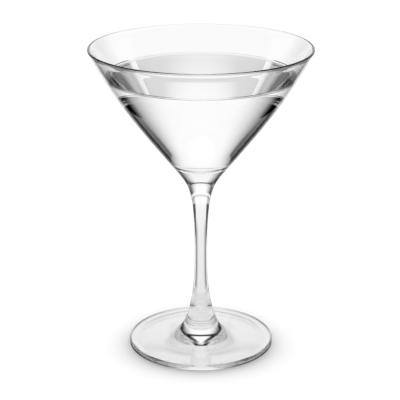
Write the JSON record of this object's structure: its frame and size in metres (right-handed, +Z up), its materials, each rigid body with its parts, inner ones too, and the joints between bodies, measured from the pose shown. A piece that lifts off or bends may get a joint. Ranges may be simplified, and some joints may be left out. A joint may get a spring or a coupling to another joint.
{
  "type": "filled cocktail glass",
  "caption": "Clear cocktail in a stemmed cone-shaped glass on a round foot, standing upright, to be lifted by the stem and drunk from the rim.",
  "frame": {"origin": "middle of the ring that the foot stands on, on the axis of the glass", "axes": "+Z up along the axis of the glass, X and Y level and alike because the part is round"},
  "size_m": [0.1158, 0.1158, 0.1628],
  "materials": {
    "glass": "clear, polished, colourless",
    "drink": null
  },
  "bodies": {
    "root": {"glass": "glass", "drink": "drink"}
  },
  "joints": []
}
